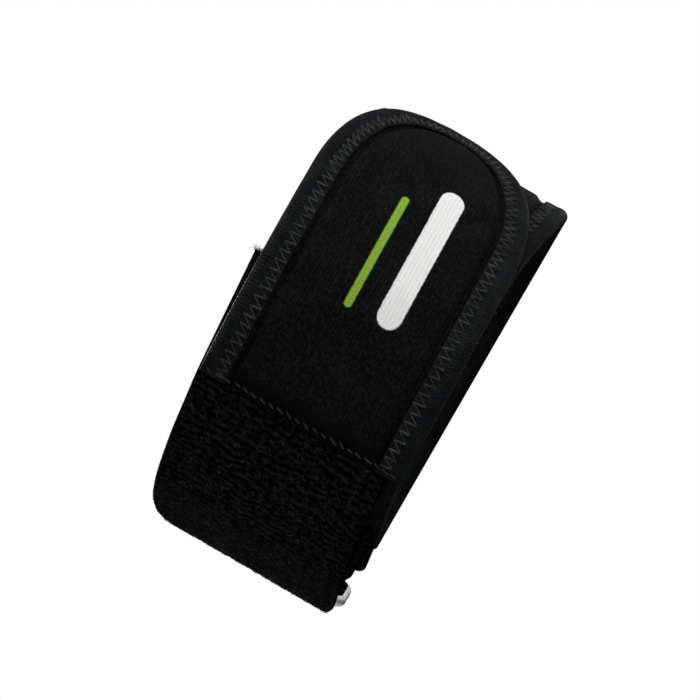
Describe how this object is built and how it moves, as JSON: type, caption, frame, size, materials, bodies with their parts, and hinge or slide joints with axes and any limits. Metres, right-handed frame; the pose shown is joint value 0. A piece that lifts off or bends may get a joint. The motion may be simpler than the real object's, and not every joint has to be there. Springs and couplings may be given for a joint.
{
  "type": "elbow support strap",
  "caption": "Black neoprene counterforce strap for the forearm below the elbow: bound band, webbing pull strap doubled back through a wire ring, round-ended tab.",
  "frame": {"origin": "on the floor, under the middle of the box of the closed strap", "axes": "+Z along the arm's hollow, towards the wrist; -Y the side that the tab is on; -X the side that the ring is on"},
  "size_m": [0.1148, 0.1016, 0.0582],
  "materials": {
    "neoprene": "matt nylon knit laminated on foam",
    "edge_tape": "satin knitted tape",
    "webbing": "rough matt weave",
    "ring_steel": "bright plated wire"
  },
  "bodies": {
    "root": {"band_panel": "neoprene", "band_tape_lower": "edge_tape", "band_tape_upper": "edge_tape", "tab_panel": "neoprene", "tab_tape": "edge_tape", "pull_strap": "webbing", "ring_loop": "webbing", "ring": "ring_steel"}
  },
  "joints": []
}
